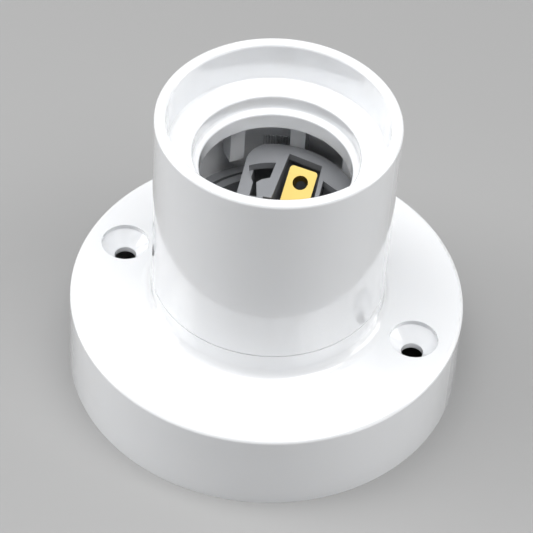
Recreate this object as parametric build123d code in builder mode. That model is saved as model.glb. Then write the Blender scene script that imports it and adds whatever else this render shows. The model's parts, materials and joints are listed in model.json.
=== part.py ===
# Batten lamp holder for a screw-cap lamp, as it stands with its back face down.
# Units are millimetres. Z is the lamp axis, with the back face at Z = 0.
# X runs through the two fixing holes.
import math
import os

from build123d import *

os.makedirs("parts", exist_ok=True)

# Base shell: a round cover that is open at the back
base_radius = 37.75
base_foot_radius = 38.0
base_height = 17.4
base_wall = 2.5
base_plate = 2.6
base_edge_round = 0.9
base_foot_round = 0.4

# Fixing holes through the base, with a straight mouth and a countersink
fixing_spacing = 60.0
fixing_hole_radius = 2.1
fixing_mouth_radius = 4.65
fixing_mouth_depth = 1.0
fixing_cone_depth = 2.6
fixing_pillar_radius = 5.4
fixing_seat = 1.2

# Ribs below the plate of the base
base_rib_count = 8
base_rib_width = 1.4
base_rib_height = 4.0

# Collar that holds the sleeve
collar_radius = 22.3
collar_height = 5.7
collar_fillet = 2.1

# Sleeve: the deep white cup
sleeve_wall = 2.1
sleeve_top = 61.9
sleeve_seam = 0.2
sleeve_rim_round = 0.8
sleeve_draft = 0.15
spigot_clearance = 0.2
spigot_wall = 1.4
spigot_overlap = 7.3
spigot_shoulder = 7.0
step_wall = 1.8
step_round = 0.55
step_corner_round = 0.5
upper_ledge_drop = 8.3
upper_ledge_radius = 15.3
lower_ledge_drop = 11.6

# Throat below the lower ledge, where the lamp screws in
throat_radius = 14.0
throat_depth = 3.5
throat_wall = 1.6
throat_flange = 1.1

# Ribs on the inside of the sleeve, below the ledges
rib_count = 9
rib_start_angle = 56.5
rib_width = 2.9
rib_clearance = 0.6
rib_length = 14.9

# Snap hooks that lock the sleeve under the plate of the base
hook_count = 4
hook_start_angle = 45.0
hook_arc = 18.0
hook_barb = 0.9
hook_height = 1.5
hook_clearance = 0.1

# Contact carrier: the dark moulding inside the sleeve
carrier_clearance = 0.3
carrier_drum_wall = 1.8
carrier_foot = 5.0
carrier_drum_top = 32.9
groove_width = 1.1
groove_depth = 3.9
tower_wall = 1.6
platform_top = 40.7
platform_thickness = 1.5
deck_top = 18.0
deck_thickness = 2.0

# One side of the platform is cut away, down to a low shelf
cut_distance = 7.1
cut_wall_top = 33.5
cut_corner_round = 5.4
cut_corner_distance = 16.05
shelf_top = 29.6
shelf_thickness = 1.6

# Windows in the platform and the shelf: corners along and across the line of the contacts
arc_window_radius = 10.85
arc_window = [
    (9.6, 6.52), (11.4, 1.4), (6.54, 1.82), (5.8, 3.2), (4.77, 4.1), (1.0, 3.3), (1.0, 4.72), (4.6, 4.72), (6.4, 5.68)
]
side_window = [(8.0, -8.0), (5.0, -12.4), (-3.5, -12.4), (-3.5, -7.8)]
shelf_window_rim = 1.2
shelf_window_start = -3.0
shelf_window_end = 9.0

# Flange and ears that hold the carrier in the base
flange_height = 8.8
flange_thickness = 2.0
flange_rim = 3.1
ear_inset = 8.25
ear_radius = 3.6
carrier_screw_radius = 1.25
carrier_screw_head_radius = 2.7
carrier_screw_head_height = 1.9
carrier_screw_grip = 5.0
carrier_screw_head_room = 0.3
pilot_clearance = 0.05
pilot_spare_depth = 0.3
screw_slot_width = 0.8
screw_slot_depth = 0.9

# Contacts: the centre leaf lies along the line of the contacts, the side leaf turned a little from it
contact_angle = 102.0
side_leaf_angle = 96.0
leaf_thickness = 0.6
bend_radius = 0.5
leg_length = 2.9
leg_side_room = 0.6
side_leaf_offset = 3.1
side_leaf_width = 5.4
side_leaf_root = 1.9
side_leaf_root_height = 37.8
side_leaf_reach = 8.35
side_leaf_rise = 24.0
side_leaf_hole_mouth = 1.45
side_leaf_hole_throat = 0.95
side_leaf_hole_from_tip = 3.2
side_leaf_hole_collar = 1.6
side_leaf_hole_collar_height = 0.8
side_leaf_corner = 0.7
side_leaf_tip_slant = 0.5
centre_leaf_width = 3.2
centre_leaf_root = -7.3
centre_leaf_root_height = 37.4
centre_leaf_reach = 6.6
centre_leaf_rise = 17.0
centre_pad_radius = 1.3
centre_pad_height = 0.5
centre_pad_taper = 30.0

# Pocket round the side contact and slot round the centre contact
pocket_outline = [(13.8, -0.58), (11.8, -7.15), (1.0, -7.15), (1.0, 0.67)]
pocket_wall = 0.8
pocket_wall_depth = 4.2
pocket_wall_start = 3.0
pocket_wall_end = 11.0
centre_slot_side_room = 0.6
centre_slot_far = 1.3
centre_slot_near = -9.6

# Brass strips from the contacts to the terminals, and their guides
strip_thickness = 0.8
strip_gap = 0.3
strip_slot_room = 0.1
guide_wall = 1.3
foot_reach = 8.2
foot_width = 5.5

# Terminals: a clamp plate and a screw on each strip
terminal_screw_distance = 4.4
terminal_screw_radius = 1.75
terminal_screw_head_radius = 3.1
terminal_screw_head_height = 2.4
terminal_screw_depth = 4.0
terminal_boss_wall = 1.6
terminal_slot_width = 1.0
terminal_slot_depth = 1.1
clamp_side = 7.0
clamp_thickness = 1.2
clamp_round = 0.5

# Heights and radii that follow from the sizes above
base_underside = base_height - base_plate
collar_top = base_height + collar_height
sleeve_bottom = collar_top + sleeve_seam
sleeve_bore = collar_radius - sleeve_wall
collar_bore = collar_radius - spigot_wall - spigot_clearance + 0.1
spigot_radius = collar_bore - spigot_clearance
spigot_bore = spigot_radius - spigot_wall
spigot_bottom = sleeve_bottom - spigot_overlap
spigot_shoulder_height = sleeve_bottom + spigot_shoulder
ledge_bore = sleeve_bore - sleeve_draft
upper_ledge = sleeve_top - upper_ledge_drop
lower_ledge = sleeve_top - lower_ledge_drop
throat_bottom = lower_ledge - throat_depth
throat_flange_bottom = lower_ledge - throat_flange
upper_ledge_underside = upper_ledge - step_wall
step_outer_radius = upper_ledge_radius + step_wall
drum_radius = spigot_bore - carrier_clearance
drum_bore = drum_radius - carrier_drum_wall
tower_radius = drum_bore - groove_width
tower_bore = tower_radius - tower_wall
tower_middle = tower_bore + tower_wall / 2
rib_front = tower_radius + rib_clearance
platform_underside = platform_top - platform_thickness
deck_underside = deck_top - deck_thickness
flange_top = flange_height + flange_thickness
ear_distance = base_radius - base_wall - ear_inset
fixing_pillar_foot = base_height - fixing_mouth_depth - fixing_cone_depth - fixing_seat
fixing_places = [(-fixing_spacing / 2, 0), (fixing_spacing / 2, 0)]
ear_places = [(0, -ear_distance), (0, ear_distance)]
leaf_places = [
    (side_leaf_angle, side_leaf_root, side_leaf_offset, side_leaf_width, side_leaf_root_height),
    (contact_angle, centre_leaf_root, 0, centre_leaf_width, centre_leaf_root_height),
]


def radial_plane(angle):
    """Upright plane through the lamp axis: local x is outward at this angle, local y is up."""
    turn = math.radians(angle)
    return Plane(
        origin=(0, 0, 0),
        x_dir=(math.cos(turn), math.sin(turn), 0),
        z_dir=(math.sin(turn), -math.cos(turn), 0),
    )


def plan_plane(angle, height):
    """Level plane at a height, turned so that its local x is outward at this angle."""
    turn = math.radians(angle)
    return Plane(origin=(0, 0, height), x_dir=(math.cos(turn), math.sin(turn), 0), z_dir=(0, 0, 1))


def cut_side(edge):
    """Sketch of the side of the carrier that lies beyond this distance from the line of the contacts."""
    with BuildSketch() as outline:
        with Locations((0, edge)):
            Rectangle(2 * drum_radius, 2 * drum_radius, align=(Align.CENTER, Align.MIN))
    return outline.sketch


# Base
with BuildPart() as base:
    with BuildSketch(Plane.XZ):
        with BuildLine():
            Polyline(
                (base_foot_radius, 0),
                (base_radius, base_height),
                (collar_radius, base_height),
                (collar_radius, collar_top),
                (collar_bore, collar_top),
                (collar_bore, base_underside),
                (base_radius - base_wall, base_underside),
                (base_foot_radius - base_wall, 0),
                close=True,
            )
        make_face()
    revolve(axis=Axis.Z)
    at_plate = [edge for edge in base.edges().filter_by(GeomType.CIRCLE)
                if abs(edge.center().Z - base_height) < base_foot_round]
    fillet([edge for edge in at_plate if abs(edge.radius - base_radius) < base_foot_round], base_edge_round)
    fillet([edge for edge in at_plate if abs(edge.radius - collar_radius) < base_foot_round], collar_fillet)
    with BuildSketch(Plane.XY.offset(fixing_pillar_foot)):
        with Locations(*fixing_places):
            Circle(fixing_pillar_radius)
        Circle(base_radius - base_wall / 2, mode=Mode.INTERSECT)
    extrude(amount=base_underside - fixing_pillar_foot)
    with BuildSketch(Plane.XY.offset(base_underside - base_rib_height)):
        with PolarLocations(
            (base_radius - base_wall + ear_distance) / 2, base_rib_count, start_angle=180 / base_rib_count
        ):
            Rectangle(base_radius - base_wall / 2 - ear_distance + ear_radius, base_rib_width)
        Circle(base_radius - base_wall / 2, mode=Mode.INTERSECT)
    extrude(amount=base_rib_height)
    with BuildSketch(Plane.XY.offset(flange_top)):
        with Locations(*ear_places):
            Circle(ear_radius)
    extrude(amount=base_underside - flange_top)
    with BuildSketch(Plane.XY.offset(flange_top)):
        with Locations(*ear_places):
            Circle(carrier_screw_radius + pilot_clearance)
    extrude(amount=carrier_screw_grip + pilot_spare_depth, mode=Mode.SUBTRACT)
    with BuildSketch(Plane.XY):
        with Locations(*fixing_places):
            Circle(fixing_hole_radius)
    extrude(amount=base_height, mode=Mode.SUBTRACT)
    with BuildSketch(Plane.XY.offset(base_height - fixing_mouth_depth)):
        with Locations(*fixing_places):
            Circle(fixing_mouth_radius)
    extrude(amount=fixing_mouth_depth, mode=Mode.SUBTRACT)
    with Locations(*[(x, y, base_height - fixing_mouth_depth) for x, y in fixing_places]):
        Cone(
            fixing_hole_radius,
            fixing_mouth_radius,
            fixing_cone_depth,
            align=(Align.CENTER, Align.CENTER, Align.MAX),
            mode=Mode.SUBTRACT,
        )

base.part.label = "base"
export_step(base.part, "parts/base.step")

# Sleeve
with BuildPart() as sleeve:
    with BuildSketch(Plane.XZ) as sleeve_profile:
        with BuildLine():
            Polyline(
                (collar_radius, sleeve_bottom),
                (collar_radius, sleeve_top),
                (sleeve_bore, sleeve_top),
                (ledge_bore, upper_ledge),
                (upper_ledge_radius, upper_ledge),
                (upper_ledge_radius, lower_ledge),
                (throat_radius, lower_ledge),
                (throat_radius, throat_bottom),
                (throat_radius + throat_wall, throat_bottom),
                (throat_radius + throat_wall, throat_flange_bottom),
                (step_outer_radius, throat_flange_bottom),
                (step_outer_radius, upper_ledge_underside),
                (ledge_bore, upper_ledge_underside),
                (ledge_bore, spigot_shoulder_height + spigot_wall),
                (spigot_bore, spigot_shoulder_height),
                (spigot_bore, spigot_bottom),
                (spigot_radius, spigot_bottom),
                (spigot_radius, sleeve_bottom),
                close=True,
            )
        make_face()
        for places, corner_round in [
            ([(collar_radius, sleeve_top), (sleeve_bore, sleeve_top)], sleeve_rim_round),
            ([(upper_ledge_radius, upper_ledge), (throat_radius, lower_ledge)], step_round),
            ([(ledge_bore, upper_ledge), (upper_ledge_radius, lower_ledge)], step_corner_round),
        ]:
            fillet(
                [
                    corner
                    for corner in sleeve_profile.vertices()
                    if any(math.dist((corner.X, corner.Y), place) < corner_round / 2 for place in places)
                ],
                corner_round,
            )
    revolve(axis=Axis.Z)
    # Ribs that hang below the ledges
    with BuildSketch(Plane.XY.offset(upper_ledge_underside - rib_length)):
        with PolarLocations((rib_front + sleeve_bore) / 2, rib_count, start_angle=rib_start_angle):
            Rectangle(sleeve_bore - rib_front, rib_width)
    extrude(amount=rib_length)
    # Snap hooks
    for hook in range(hook_count):
        hook_angle = hook_start_angle + hook * 360 / hook_count
        barb_top = base_underside - hook_clearance
        with BuildSketch(radial_plane(hook_angle - hook_arc / 2)):
            with BuildLine():
                Polyline(
                    (spigot_bore, spigot_bottom),
                    (spigot_radius, spigot_bottom),
                    (spigot_radius, barb_top),
                    (spigot_radius + hook_barb, barb_top),
                    (spigot_radius, barb_top - hook_height),
                    (spigot_bore, barb_top - hook_height),
                    close=True,
                )
            make_face()
        revolve(axis=Axis.Z, revolution_arc=-hook_arc)

sleeve.part.label = "sleeve"
export_step(sleeve.part, "parts/sleeve.step")

# Outline of the slot that the centre leaf moves in
with BuildSketch() as centre_slot:
    with Locations((centre_slot_near, 0)):
        Rectangle(
            centre_slot_far - centre_slot_near,
            centre_leaf_width + 2 * centre_slot_side_room,
            align=(Align.MIN, Align.CENTER),
        )

# Contact carrier
with BuildPart() as contact_carrier:
    with BuildSketch(Plane.XZ):
        with BuildLine():
            Polyline(
                (drum_radius, carrier_foot),
                (drum_radius, flange_height),
                (drum_radius + flange_rim, flange_height),
                (drum_radius + flange_rim, flange_top),
                (drum_radius, flange_top),
                (drum_radius, carrier_drum_top),
                (drum_bore, carrier_drum_top),
                (drum_bore, carrier_drum_top - groove_depth),
                (tower_radius, carrier_drum_top - groove_depth),
                (tower_radius, platform_top),
                (0, platform_top),
                (0, platform_underside),
                (tower_bore, platform_underside),
                (tower_bore, deck_top),
                (0, deck_top),
                (0, deck_underside),
                (drum_bore, deck_underside),
                (drum_bore, carrier_foot),
                close=True,
            )
        make_face()
    revolve(axis=Axis.Z)
    # The platform is cut away on one side, down to a shelf inside the tower, with rounded corners
    with BuildSketch(plan_plane(contact_angle, shelf_top - shelf_thickness)):
        Circle(tower_middle)
        add(cut_side(cut_distance - shelf_thickness), mode=Mode.INTERSECT)
    extrude(amount=shelf_thickness)
    with BuildSketch(plan_plane(contact_angle, shelf_top)):
        Circle(tower_middle)
        add(cut_side(cut_distance - shelf_thickness), mode=Mode.INTERSECT)
        add(cut_side(cut_distance), mode=Mode.SUBTRACT)
    extrude(amount=platform_underside - shelf_top)
    with BuildSketch(plan_plane(contact_angle, cut_wall_top)):
        add(cut_side(cut_distance - cut_corner_round))
        with Locations((0, cut_distance)):
            RectangleRounded(
                2 * cut_corner_distance,
                2 * cut_corner_distance,
                cut_corner_round,
                align=(Align.CENTER, Align.MAX),
                mode=Mode.SUBTRACT,
            )
    extrude(amount=platform_top - cut_wall_top, mode=Mode.SUBTRACT)
    # Walls that hang below the two long sides of the side contact's pocket
    with BuildSketch(plan_plane(contact_angle, platform_underside - pocket_wall_depth)):
        Polygon(*pocket_outline, align=None)
        offset(amount=pocket_wall)
        Polygon(*pocket_outline, align=None, mode=Mode.SUBTRACT)
        with Locations((pocket_wall_start, 0)):
            Rectangle(
                pocket_wall_end - pocket_wall_start,
                2 * tower_middle,
                align=(Align.MIN, Align.CENTER),
                mode=Mode.INTERSECT,
            )
    extrude(amount=pocket_wall_depth)
    # Guides that hold the two strips upright, and bosses for the terminal screws
    for angle, root, side, width, root_height in leaf_places:
        with BuildSketch(plan_plane(angle, deck_top)):
            with Locations((root, -side)):
                Rectangle(strip_thickness + 2 * guide_wall, width + 2 * guide_wall)
        extrude(amount=root_height - leg_length / 2 - deck_top)
        screw_place = (root + math.copysign(terminal_screw_distance, root), -side)
        with BuildSketch(plan_plane(angle, deck_top)):
            with Locations(screw_place):
                Circle(terminal_screw_radius + terminal_boss_wall)
            Circle(tower_middle, mode=Mode.INTERSECT)
        extrude(amount=terminal_screw_depth)
        with BuildSketch(plan_plane(angle, deck_underside)):
            with Locations(screw_place):
                Circle(terminal_screw_radius + pilot_clearance)
        extrude(amount=deck_thickness + terminal_screw_depth - pilot_clearance - terminal_boss_wall / 2,
                mode=Mode.SUBTRACT)
    # Pocket, slot and windows in the platform
    with BuildSketch(plan_plane(contact_angle, platform_underside)):
        Polygon(*pocket_outline, align=None)
        Polygon(*side_window, align=None)
        add(centre_slot.sketch)
    extrude(amount=platform_thickness, mode=Mode.SUBTRACT)
    with BuildSketch(plan_plane(contact_angle, centre_leaf_root_height)):
        add(centre_slot.sketch)
    extrude(amount=platform_underside - centre_leaf_root_height, mode=Mode.SUBTRACT)
    with BuildSketch(plan_plane(contact_angle, platform_underside)):
        Polygon(*arc_window, align=None)
        Circle(arc_window_radius, mode=Mode.INTERSECT)
    extrude(amount=platform_thickness, mode=Mode.SUBTRACT)
    with BuildSketch(plan_plane(contact_angle, shelf_top - shelf_thickness)):
        with Locations((shelf_window_start, cut_distance + shelf_window_rim)):
            Rectangle(shelf_window_end - shelf_window_start, tower_radius, align=(Align.MIN, Align.MIN))
        Circle(tower_bore - shelf_window_rim, mode=Mode.INTERSECT)
    extrude(amount=shelf_thickness, mode=Mode.SUBTRACT)
    # Slots for the strips, with room for the leg of each leaf above them
    for angle, root, side, width, root_height in leaf_places:
        with BuildSketch(plan_plane(angle, deck_underside)):
            with Locations((root, -side)):
                Rectangle(strip_thickness + 2 * strip_slot_room, width + 2 * strip_slot_room)
        extrude(amount=root_height - deck_underside, mode=Mode.SUBTRACT)
        with BuildSketch(plan_plane(angle, root_height - leg_length - strip_gap)):
            with Locations((root, -side)):
                Rectangle(leaf_thickness + 2 * leg_side_room, width + 2 * leg_side_room)
        extrude(amount=leg_length, mode=Mode.SUBTRACT)
    # Ears for the two screws that hold the carrier
    with BuildSketch(Plane.XY.offset(flange_height)):
        with Locations(*ear_places):
            Circle(ear_radius)
        Rectangle(2 * ear_radius, 2 * ear_distance)
        Circle(drum_bore + carrier_drum_wall / 2, mode=Mode.SUBTRACT)
    extrude(amount=flange_thickness)
    with BuildSketch(Plane.XY.offset(flange_height)):
        with Locations(*ear_places):
            Circle(carrier_screw_radius + pilot_clearance)
    extrude(amount=flange_thickness, mode=Mode.SUBTRACT)
    with BuildSketch(Plane.XY.offset(flange_height)):
        with Locations(*ear_places):
            Circle(carrier_screw_head_radius + carrier_screw_head_room)
    extrude(amount=-carrier_screw_head_height, mode=Mode.SUBTRACT)

contact_carrier.part.label = "contact_carrier"
export_step(contact_carrier.part, "parts/contact_carrier.step")


def leaf_profile(root, root_height, reach, rise):
    """Side outline of a bent leaf: an upright leg, a round bend, and an arm that rises to its tip."""
    sine, cosine = math.sin(math.radians(rise)), math.cos(math.radians(rise))
    outer_bend = bend_radius + leaf_thickness
    bend_place = root - leaf_thickness / 2 + outer_bend
    bend_height = root_height + sine / cosine * (bend_place - outer_bend * sine - root) - outer_bend * cosine
    leg_bottom = root_height - leg_length
    tip_height = root_height + sine / cosine * reach
    with BuildSketch() as outline:
        with BuildLine():
            Polyline(
                (bend_place - outer_bend, bend_height),
                (bend_place - outer_bend, leg_bottom),
                (bend_place - bend_radius, leg_bottom),
                (bend_place - bend_radius, bend_height),
            )
            CenterArc((bend_place, bend_height), outer_bend, 180, rise - 90)
            Polyline(
                (bend_place - outer_bend * sine, bend_height + outer_bend * cosine),
                (root + reach, tip_height),
                (root + reach + leaf_thickness * sine, tip_height - leaf_thickness * cosine),
                (bend_place - bend_radius * sine, bend_height + bend_radius * cosine),
            )
            CenterArc((bend_place, bend_height), bend_radius, 180, rise - 90)
        make_face()
    return outline.sketch


# Side contact: the hole is drawn down into a short collar, and the tip is cut at a slant
with BuildPart() as side_contact:
    arm = Plane(
        plan_plane(side_leaf_angle, side_leaf_root_height)
        * Location((side_leaf_root, -side_leaf_offset, 0), (0, -side_leaf_rise, 0))
    )
    arm_length = side_leaf_reach / math.cos(math.radians(side_leaf_rise))
    with BuildSketch(radial_plane(side_leaf_angle).offset(side_leaf_offset)):
        add(leaf_profile(side_leaf_root, side_leaf_root_height, side_leaf_reach, side_leaf_rise))
    extrude(amount=side_leaf_width / 2, both=True)
    with BuildSketch(arm):
        Polygon(
            (arm_length, side_leaf_width / 2),
            (arm_length, -side_leaf_width / 2),
            (arm_length - side_leaf_tip_slant, -side_leaf_width / 2),
            align=None,
        )
    extrude(amount=-leaf_thickness, mode=Mode.SUBTRACT)
    short_edges = side_contact.edges().filter_by(
        lambda edge: abs(edge.length - leaf_thickness) < leaf_thickness / 100
    )
    fillet(short_edges.sort_by(Axis.Z)[-2:], side_leaf_corner)
    with BuildSketch(arm.offset(-leaf_thickness)):
        with Locations((arm_length - side_leaf_hole_from_tip, 0)):
            Circle(side_leaf_hole_collar)
    extrude(amount=-side_leaf_hole_collar_height)
    with Locations(arm):
        with Locations((arm_length - side_leaf_hole_from_tip, 0)):
            Cone(
                side_leaf_hole_throat,
                side_leaf_hole_mouth,
                leaf_thickness + side_leaf_hole_collar_height,
                align=(Align.CENTER, Align.CENTER, Align.MAX),
                mode=Mode.SUBTRACT,
            )

side_contact.part.label = "side_contact"
export_step(side_contact.part, "parts/side_contact.step")

# Centre contact
with BuildPart() as centre_contact:
    with BuildSketch(radial_plane(contact_angle)):
        add(leaf_profile(centre_leaf_root, centre_leaf_root_height, centre_leaf_reach, centre_leaf_rise))
    extrude(amount=centre_leaf_width / 2, both=True)
    centre_tip = (centre_leaf_root + centre_leaf_reach, 0)
    tip_height = centre_leaf_root_height + math.tan(math.radians(centre_leaf_rise)) * centre_leaf_reach
    with BuildSketch(plan_plane(contact_angle, tip_height - leaf_thickness)):
        with Locations(centre_tip):
            Circle(centre_leaf_width / 2)
    extrude(amount=leaf_thickness)
    with BuildSketch(plan_plane(contact_angle, tip_height)):
        with Locations(centre_tip):
            Circle(centre_pad_radius)
    extrude(amount=centre_pad_height, taper=centre_pad_taper)

centre_contact.part.label = "centre_contact"
export_step(centre_contact.part, "parts/centre_contact.step")


def make_terminal(name, angle, root, side, width, root_height):
    """Strip, clamp plate and screw of one terminal, below the leaf that stands on this root."""
    foot_top = deck_underside
    foot_bottom = foot_top - strip_thickness
    screw_place = (root + math.copysign(terminal_screw_distance, root), -side)
    foot_align = (Align.MIN if root > 0 else Align.MAX, Align.CENTER)

    with BuildPart() as strip:
        with BuildSketch(plan_plane(angle, foot_bottom)):
            with Locations((root, -side)):
                Rectangle(strip_thickness, width)
        extrude(amount=root_height - leg_length - strip_gap - foot_bottom)
        with BuildSketch(plan_plane(angle, foot_bottom)):
            with Locations((root, -side)):
                Rectangle(foot_reach, foot_width, align=foot_align)
            with Locations(screw_place):
                Circle(terminal_screw_radius + pilot_clearance, mode=Mode.SUBTRACT)
        extrude(amount=strip_thickness)
    strip.part.label = name + "_strip"
    export_step(strip.part, f"parts/{name}_strip.step")

    plate_bottom = foot_bottom - clamp_thickness
    with BuildPart() as clamp:
        with BuildSketch(plan_plane(angle, plate_bottom)):
            with Locations(screw_place):
                RectangleRounded(clamp_side, clamp_side, clamp_round)
                Circle(terminal_screw_radius + pilot_clearance, mode=Mode.SUBTRACT)
        extrude(amount=clamp_thickness)
    clamp.part.label = name + "_clamp_plate"
    export_step(clamp.part, f"parts/{name}_clamp_plate.step")

    head_bottom = plate_bottom - terminal_screw_head_height
    with BuildPart() as screw:
        with BuildSketch(plan_plane(angle, head_bottom)):
            with Locations(screw_place):
                Circle(terminal_screw_head_radius)
        extrude(amount=terminal_screw_head_height)
        chamfer(screw.faces().sort_by(Axis.Z)[0].edges(), terminal_screw_head_height / 4)
        with BuildSketch(plan_plane(angle, plate_bottom)):
            with Locations(screw_place):
                Circle(terminal_screw_radius)
        extrude(amount=clamp_thickness + strip_thickness + deck_thickness + terminal_screw_depth / 2)
        with BuildSketch(plan_plane(angle, head_bottom)):
            with Locations(screw_place):
                Rectangle(2 * terminal_screw_head_radius, terminal_slot_width)
        extrude(amount=terminal_slot_depth, mode=Mode.SUBTRACT)
    screw.part.label = name + "_terminal_screw"
    export_step(screw.part, f"parts/{name}_terminal_screw.step")


for name, leaf_place in zip(["side", "centre"], leaf_places):
    make_terminal(name, *leaf_place)

# Screws that hold the carrier to the base
for name, place in zip(["carrier_screw_front", "carrier_screw_back"], ear_places):
    with BuildPart() as carrier_screw:
        with BuildSketch(Plane.XY.offset(flange_height - carrier_screw_head_height)):
            with Locations(place):
                Circle(carrier_screw_head_radius)
        extrude(amount=carrier_screw_head_height)
        chamfer(carrier_screw.faces().sort_by(Axis.Z)[0].edges(), carrier_screw_head_height / 3)
        with BuildSketch(Plane.XY.offset(flange_height)):
            with Locations(place):
                Circle(carrier_screw_radius)
        extrude(amount=flange_thickness + carrier_screw_grip)
        with BuildSketch(Plane.XY.offset(flange_height - carrier_screw_head_height)):
            with Locations(place):
                Rectangle(2 * carrier_screw_head_radius, screw_slot_width)
                Rectangle(screw_slot_width, 2 * carrier_screw_head_radius)
        extrude(amount=screw_slot_depth, mode=Mode.SUBTRACT)
    carrier_screw.part.label = name
    export_step(carrier_screw.part, f"parts/{name}.step")
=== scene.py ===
"""Looks of a batten lamp holder: finishes, fine moulded detail, light and camera."""

import json
import logging
import math
from dataclasses import dataclass
from enum import Enum

import bpy
from mathutils import Matrix, Vector


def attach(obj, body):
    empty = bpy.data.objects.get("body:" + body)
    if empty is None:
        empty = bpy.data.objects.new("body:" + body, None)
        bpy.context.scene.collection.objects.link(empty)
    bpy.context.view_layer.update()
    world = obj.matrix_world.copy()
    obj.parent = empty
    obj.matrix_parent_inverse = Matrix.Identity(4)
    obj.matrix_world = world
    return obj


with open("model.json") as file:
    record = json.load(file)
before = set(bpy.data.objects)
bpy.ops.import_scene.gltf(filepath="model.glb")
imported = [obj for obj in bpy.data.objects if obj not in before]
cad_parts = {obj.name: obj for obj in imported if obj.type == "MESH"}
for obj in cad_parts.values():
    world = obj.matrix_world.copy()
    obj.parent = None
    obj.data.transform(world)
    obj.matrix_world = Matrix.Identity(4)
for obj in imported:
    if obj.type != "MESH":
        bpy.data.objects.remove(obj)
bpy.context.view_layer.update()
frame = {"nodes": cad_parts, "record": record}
MM = 0.001
LOG = logging.getLogger("batten_lamp_holder")


class Slot(Enum):
    """Material slots of the record that pieces take their finish from."""

    WHITE = "white_plastic"
    DARK = "dark_plastic"
    BRASS = "brass"
    STEEL = "plated_steel"


@dataclass(frozen=True)
class Relief:
    """Fine surface relief read from a noise pattern.

    size: pattern repeats in each metre.
    strength: how much of the relief shows, from 0 to 1.
    depth: height of the relief in metres.
    detail: levels of finer noise inside the pattern.
    """

    size: float
    strength: float
    depth: float
    detail: float = 3.0


@dataclass(frozen=True)
class Finish:
    """One finish of the lamp holder, made of a shader and a fine surface pattern.

    name: material name.
    colour: base colour, linear red, green and blue.
    second_colour: colour that the pattern drifts to.
    roughness: lowest and highest roughness over the surface.
    relief: fine relief of the moulded or rolled surface.
    metallic: 1 for metal and 0 for plastic.
    coat: strength of the glossy skin.
    specular: strength of the reflection.
    subsurface: share of light that goes through the skin of the plastic.
    subsurface_depth: how far that light goes, in metres.
    subsurface_tint: its reach in red, green and blue.
    drift_size: repeats of the colour drift in each metre.
    drift_detail: levels of finer noise inside the drift.
    drift_span: values of the noise between which the roughness rises.
    """

    name: str
    colour: tuple[float, float, float]
    second_colour: tuple[float, float, float]
    roughness: tuple[float, float]
    relief: Relief
    metallic: float = 0.0
    coat: float = 0.0
    specular: float = 0.5
    subsurface: float = 0.0
    subsurface_depth: float = 0.6 * MM
    subsurface_tint: tuple[float, float, float] = (1.0, 0.95, 0.9)
    drift_size: float = 45.0
    drift_detail: float = 4.0
    drift_span: tuple[float, float] = (0.3, 0.7)

    def material(self) -> bpy.types.Material:
        """Builds the node material of this finish.

        Returns:
            The new material.
        """
        material = bpy.data.materials.new(self.name)
        material.use_nodes = True
        nodes, links = material.node_tree.nodes, material.node_tree.links
        shader = nodes["Principled BSDF"]
        shader.inputs["Metallic"].default_value = self.metallic
        shader.inputs["Coat Weight"].default_value = self.coat
        shader.inputs["Coat Roughness"].default_value = self.roughness[0] / 2
        shader.inputs["Specular IOR Level"].default_value = self.specular
        if self.subsurface:
            shader.inputs["Subsurface Weight"].default_value = self.subsurface
            shader.inputs["Subsurface Radius"].default_value = self.subsurface_tint
            shader.inputs["Subsurface Scale"].default_value = self.subsurface_depth
        place = nodes.new("ShaderNodeTexCoord")
        drift = nodes.new("ShaderNodeTexNoise")
        drift.inputs["Scale"].default_value = self.drift_size
        drift.inputs["Detail"].default_value = self.drift_detail
        links.new(place.outputs["Object"], drift.inputs["Vector"])
        mix = nodes.new("ShaderNodeMix")
        mix.data_type = "RGBA"
        mix.inputs["A"].default_value = (*self.colour, 1.0)
        mix.inputs["B"].default_value = (*self.second_colour, 1.0)
        links.new(drift.outputs["Fac"], mix.inputs["Factor"])
        links.new(mix.outputs["Result"], shader.inputs["Base Color"])
        spread = nodes.new("ShaderNodeMapRange")
        for end, drift_end, roughness in zip(("Min", "Max"), self.drift_span, self.roughness):
            spread.inputs["From " + end].default_value = drift_end
            spread.inputs["To " + end].default_value = roughness
        links.new(drift.outputs["Fac"], spread.inputs["Value"])
        links.new(spread.outputs["Result"], shader.inputs["Roughness"])
        grain = nodes.new("ShaderNodeTexNoise")
        grain.inputs["Scale"].default_value = self.relief.size
        grain.inputs["Detail"].default_value = self.relief.detail
        links.new(place.outputs["Object"], grain.inputs["Vector"])
        bump = nodes.new("ShaderNodeBump")
        bump.inputs["Strength"].default_value = self.relief.strength
        bump.inputs["Distance"].default_value = self.relief.depth
        links.new(grain.outputs["Fac"], bump.inputs["Height"])
        links.new(bump.outputs["Normal"], shader.inputs["Normal"])
        return material


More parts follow.
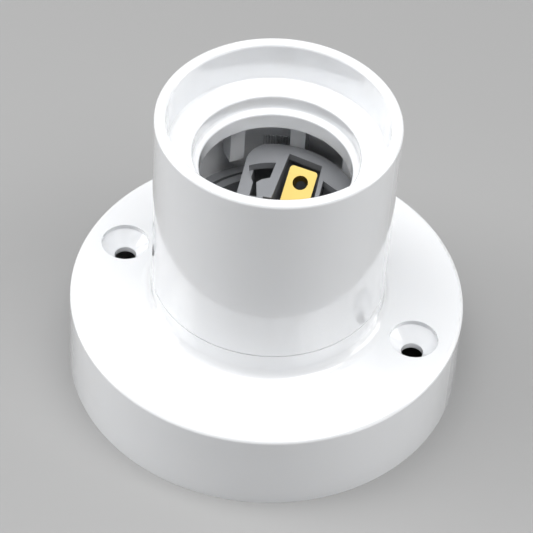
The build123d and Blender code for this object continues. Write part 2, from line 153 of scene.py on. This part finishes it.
FINISHES: dict[Slot, Finish] = {
    Slot.WHITE: Finish(
        name="glossy_white_moulding",
        colour=(0.87, 0.885, 0.905),
        second_colour=(0.9, 0.91, 0.925),
        roughness=(0.12, 0.17),
        relief=Relief(size=900.0, strength=0.08, depth=0.02 * MM),
        coat=1.0,
        subsurface=0.15,
    ),
    Slot.DARK: Finish(
        name="satin_grey_moulding",
        colour=(0.2, 0.206, 0.218),
        second_colour=(0.23, 0.236, 0.25),
        roughness=(0.42, 0.5),
        relief=Relief(size=2600.0, strength=0.25, depth=0.03 * MM),
        coat=0.5,
        specular=1.0,
    ),
    Slot.BRASS: Finish(
        name="bright_rolled_brass",
        colour=(0.335, 0.265, 0.092),
        second_colour=(0.3, 0.215, 0.06),
        roughness=(0.4, 0.5),
        relief=Relief(size=1800.0, strength=0.12, depth=0.02 * MM),
        metallic=1.0,
    ),
    Slot.STEEL: Finish(
        name="bright_zinc_plate",
        colour=(0.66, 0.67, 0.69),
        second_colour=(0.58, 0.59, 0.62),
        roughness=(0.24, 0.36),
        relief=Relief(size=1500.0, strength=0.1, depth=0.02 * MM),
        metallic=1.0,
    ),
}


class Palette:
    """The node materials, one for each slot, and the pieces dressed in them."""

    def __init__(self) -> None:
        """Builds every material once."""
        self.materials = {slot: finish.material() for slot, finish in FINISHES.items()}

    def dress(self, piece: bpy.types.Object, slot: Slot) -> None:
        """Puts a slot's material on every material slot of a piece.

        Args:
            piece: the object to dress.
            slot: the finish it takes.
        """
        if not piece.material_slots:
            piece.data.materials.append(self.materials[slot])
        for place in piece.material_slots:
            place.material = self.materials[slot]

    def dress_solids(self) -> None:
        """Dresses each solid of the frame in the finish that its record names."""
        wanted = {part["node"]: Slot(part["material_slot"]) for part in frame["record"]["subparts"]}
        for name, piece in frame["nodes"].items():
            self.dress(piece, wanted[name])
            LOG.info("dressed %s", name)


def deselect_all() -> None:
    """Leaves object mode with nothing selected."""
    if bpy.context.object and bpy.context.object.mode != "OBJECT":
        bpy.ops.object.mode_set(mode="OBJECT")
    bpy.ops.object.select_all(action="DESELECT")


@dataclass
class ThroatThread:
    """The coarse lamp thread inside the throat of the sleeve.

    Sizes are in metres, and angles in degrees. The pitch is that of a large screw cap's thread.
    run_out is the share of the ridge over which each end sinks into the wall.
    """

    pitch: float = 3.63 * MM
    crest_depth: float = 0.8 * MM
    root_sink: float = 0.1 * MM
    root_width: float = 1.8 * MM
    crest_width: float = 0.6 * MM
    turns: float = 0.34
    run_out: float = 0.2
    start_angle: float = -131.0
    steps_per_turn: int = 160
    throat_radius: float = 14.0 * MM
    start_height: float = 47.8 * MM
    merge_distance: float = 0.001 * MM
    smooth_angle: float = 40.0

    @property
    def sweep(self) -> float:
        """Angle that the ridge covers, in radians."""
        return math.tau * self.turns

    def build(self) -> bpy.types.Object:
        """Models the ridge from a plane that is shaped into its section and screwed round the axis.

        Returns:
            The finished ridge.
        """
        deselect_all()
        bpy.ops.mesh.primitive_plane_add(size=1.0)
        ridge = bpy.context.object
        ridge.name = "throat_thread"
        self.shape_section(ridge)
        turn = ridge.modifiers.new("turns", "SCREW")
        turn.angle = self.sweep
        turn.screw_offset = self.pitch * self.turns
        turn.steps = turn.render_steps = int(self.steps_per_turn * self.turns)
        turn.use_merge_vertices = False
        bpy.ops.object.modifier_apply(modifier=turn.name)
        self.sink_ends(ridge)
        ridge.data.transform(Matrix.Rotation(math.radians(self.start_angle), 4, "Z"))
        bpy.ops.object.mode_set(mode="EDIT")
        bpy.ops.mesh.select_all(action="SELECT")
        bpy.ops.mesh.remove_doubles(threshold=self.merge_distance)
        bpy.ops.mesh.fill_holes(sides=4)
        bpy.ops.mesh.normals_make_consistent(inside=False)
        bpy.ops.object.mode_set(mode="OBJECT")
        bpy.ops.object.shade_smooth_by_angle(angle=math.radians(self.smooth_angle))
        return ridge

    def shape_section(self, ridge: bpy.types.Object) -> None:
        """Stands the plane up in the wall of the throat, as the section of the ridge.

        Args:
            ridge: the new plane.
        """
        for vertex in ridge.data.vertices:
            inward = vertex.co.x < 0
            width = self.crest_width if inward else self.root_width
            radius = self.throat_radius + (-self.crest_depth if inward else self.root_sink)
            vertex.co = Vector((radius, 0.0, self.start_height + math.copysign(width / 2, vertex.co.y)))

    def sink_ends(self, ridge: bpy.types.Object) -> None:
        """Lets each end of the crest run out into the wall.

        Args:
            ridge: the screwed ridge, which starts on the X axis.
        """
        sunk = self.throat_radius + self.root_sink / 2
        for vertex in ridge.data.vertices:
            radius = math.hypot(vertex.co.x, vertex.co.y)
            if radius < self.throat_radius:
                along = math.atan2(vertex.co.y, vertex.co.x) / self.sweep
                rise = max(0.0, min(1.0, along / self.run_out, (1.0 - along) / self.run_out))
                vertex.co.xy *= (sunk + (radius - sunk) * rise) / radius


@dataclass
class WallSerrations:
    """The row of fine upright teeth on the inner wall of the sleeve, between two of its ribs.

    Sizes are in metres, and angles in degrees.
    """

    wall_radius: float = 20.05 * MM
    root_sink: float = 0.05 * MM
    depth: float = 0.3 * MM
    width: float = 0.3 * MM
    crest_width: float = 0.18 * MM
    bottom: float = 36.2 * MM
    top: float = 39.2 * MM
    pitch_angle: float = 1.5
    start_angle: float = 102.0
    count: int = 11

    def build(self) -> bpy.types.Object:
        """Models one tooth from a cube with its crest narrowed, and repeats it round the lamp axis.

        Returns:
            The finished row of teeth.
        """
        deselect_all()
        bpy.ops.object.empty_add()
        step = bpy.context.object
        step.rotation_euler.z = math.radians(self.pitch_angle)
        bpy.ops.mesh.primitive_cube_add(size=1.0)
        teeth = bpy.context.object
        teeth.name = "sleeve_serrations"
        middle = self.wall_radius + (self.root_sink - self.depth) / 2
        teeth.data.transform(
            Matrix.Translation((middle, 0.0, (self.bottom + self.top) / 2))
            @ Matrix.Diagonal((self.depth + self.root_sink, self.width, self.top - self.bottom, 1.0))
        )
        bpy.ops.object.mode_set(mode="EDIT")
        bpy.ops.mesh.select_all(action="DESELECT")
        bpy.ops.object.mode_set(mode="OBJECT")
        for vertex in teeth.data.vertices:
            vertex.select = vertex.co.x < middle
        bpy.ops.object.mode_set(mode="EDIT")
        bpy.ops.transform.resize(value=(1.0, self.crest_width / self.width, 1.0))
        bpy.ops.object.mode_set(mode="OBJECT")
        teeth.data.transform(Matrix.Rotation(math.radians(self.start_angle), 4, "Z"))
        row = teeth.modifiers.new("row", "ARRAY")
        row.count = self.count
        row.use_relative_offset = False
        row.use_object_offset = True
        row.offset_object = step
        bpy.context.view_layer.update()
        bpy.ops.object.modifier_apply(modifier=row.name)
        bpy.data.objects.remove(step)
        return teeth


@dataclass(frozen=True)
class PhotoCamera:
    """The camera of the reference view, which looks at the lamp axis at the height of the base's top.

    Angles are in degrees and sizes in metres. focal_pixels is the focal length in pixels of a square
    frame that is frame_pixels wide.
    """

    azimuth: float = 19.7
    elevation: float = 46.73
    distance: float = 434.7 * MM
    target_height: float = 17.4 * MM
    pan: float = 0.06
    tilt: float = 0.58
    roll: float = -3.99
    focal_pixels: float = 2265.3
    frame_pixels: float = 533.0
    sensor_width: float = 36.0
    clip: tuple[float, float] = (10 * MM, 10.0)

    def build(self) -> bpy.types.Object:
        """Adds the camera and makes it the scene's.

        Returns:
            The camera object.
        """
        rise, turn = math.radians(self.elevation), math.radians(self.azimuth)
        back = Vector((
            math.sin(turn) * math.cos(rise),
            -math.cos(turn) * math.cos(rise),
            math.sin(rise),
        ))
        right = Vector((math.cos(turn), math.sin(turn), 0.0))
        forward = -back
        up = right.cross(forward)
        pan, tilt, roll = (math.radians(angle) for angle in (self.pan, self.tilt, self.roll))
        turned = Matrix.Rotation(tilt, 3, "X") @ Matrix.Rotation(pan, 3, "Y") @ Matrix((right, up, forward))
        aim = Matrix.Rotation(roll, 3, "Z") @ turned
        data = bpy.data.cameras.new("photo_camera")
        data.sensor_width = self.sensor_width
        data.lens = self.sensor_width * self.focal_pixels / self.frame_pixels
        data.clip_start, data.clip_end = self.clip
        camera = bpy.data.objects.new("photo_camera", data)
        bpy.context.scene.collection.objects.link(camera)
        axes = Matrix((aim[0], aim[1], -aim[2])).transposed().to_4x4()
        where = back * self.distance + Vector((0.0, 0.0, self.target_height))
        camera.matrix_world = Matrix.Translation(where) @ axes
        bpy.context.scene.camera = camera
        return camera


@dataclass(frozen=True)
class SoftBox:
    """A soft studio light with straight sides.

    place, aim and size are in metres, and power is in watts.
    """

    name: str
    place: tuple[float, float, float]
    size: tuple[float, float]
    power: float
    aim: tuple[float, float, float] = (0.0, 0.0, 0.04)

    def build(self) -> None:
        """Adds the light, turned to its aim."""
        data = bpy.data.lights.new(self.name, "AREA")
        data.shape = "RECTANGLE"
        data.size, data.size_y = self.size
        data.energy = self.power
        lamp = bpy.data.objects.new(self.name, data)
        lamp.location = self.place
        away = Vector(self.place) - Vector(self.aim)
        lamp.rotation_euler = away.to_track_quat("Z", "Y").to_euler()
        bpy.context.scene.collection.objects.link(lamp)


@dataclass(frozen=True)
class Studio:
    """The plain pale floor, the soft lights and the dim white surroundings."""

    floor_side: float = 6.0
    floor_tone: float = 0.34
    floor_roughness: float = 0.9
    floor_specular: float = 0.1
    surround_tone: float = 0.04
    lights: tuple[SoftBox, ...] = (
        SoftBox("top_box", place=(0.0, -0.13, 0.85), size=(1.6, 0.62), power=14.6, aim=(0.0, 0.0, 0.03)),
        SoftBox("left_box", place=(-0.78, -0.26, 0.22), size=(0.5, 0.4), power=2.6),
        SoftBox("right_box", place=(0.7, 0.34, 0.22), size=(0.5, 0.4), power=2.0),
    )

    def build(self) -> None:
        """Adds the floor, the lights and the world."""
        deselect_all()
        bpy.ops.mesh.primitive_plane_add(size=self.floor_side)
        floor = bpy.context.object
        floor.name = "floor"
        material = bpy.data.materials.new("pale_floor")
        material.use_nodes = True
        shader = material.node_tree.nodes["Principled BSDF"]
        shader.inputs["Base Color"].default_value = (self.floor_tone,) * 3 + (1.0,)
        shader.inputs["Roughness"].default_value = self.floor_roughness
        shader.inputs["Specular IOR Level"].default_value = self.floor_specular
        floor.data.materials.append(material)
        for light in self.lights:
            light.build()
        world = bpy.data.worlds.new("studio")
        world.use_nodes = True
        surround = world.node_tree.nodes["Background"]
        surround.inputs["Color"].default_value = (1.0, 1.0, 1.0, 1.0)
        surround.inputs["Strength"].default_value = self.surround_tone
        bpy.context.scene.world = world
        bpy.context.scene.view_settings.view_transform = "Standard"


def main() -> None:
    """Builds the pieces in order, dresses them and sets the studio."""
    logging.basicConfig(level=logging.INFO, format="%(name)s: %(message)s")
    palette = Palette()
    palette.dress_solids()
    for piece in (ThroatThread().build(), WallSerrations().build()):
        palette.dress(piece, Slot.WHITE)
        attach(piece, "holder")
        LOG.info("built %s with %d faces", piece.name, len(piece.data.polygons))
    Studio().build()
    PhotoCamera().build()


if __name__ == "__main__":
    main()
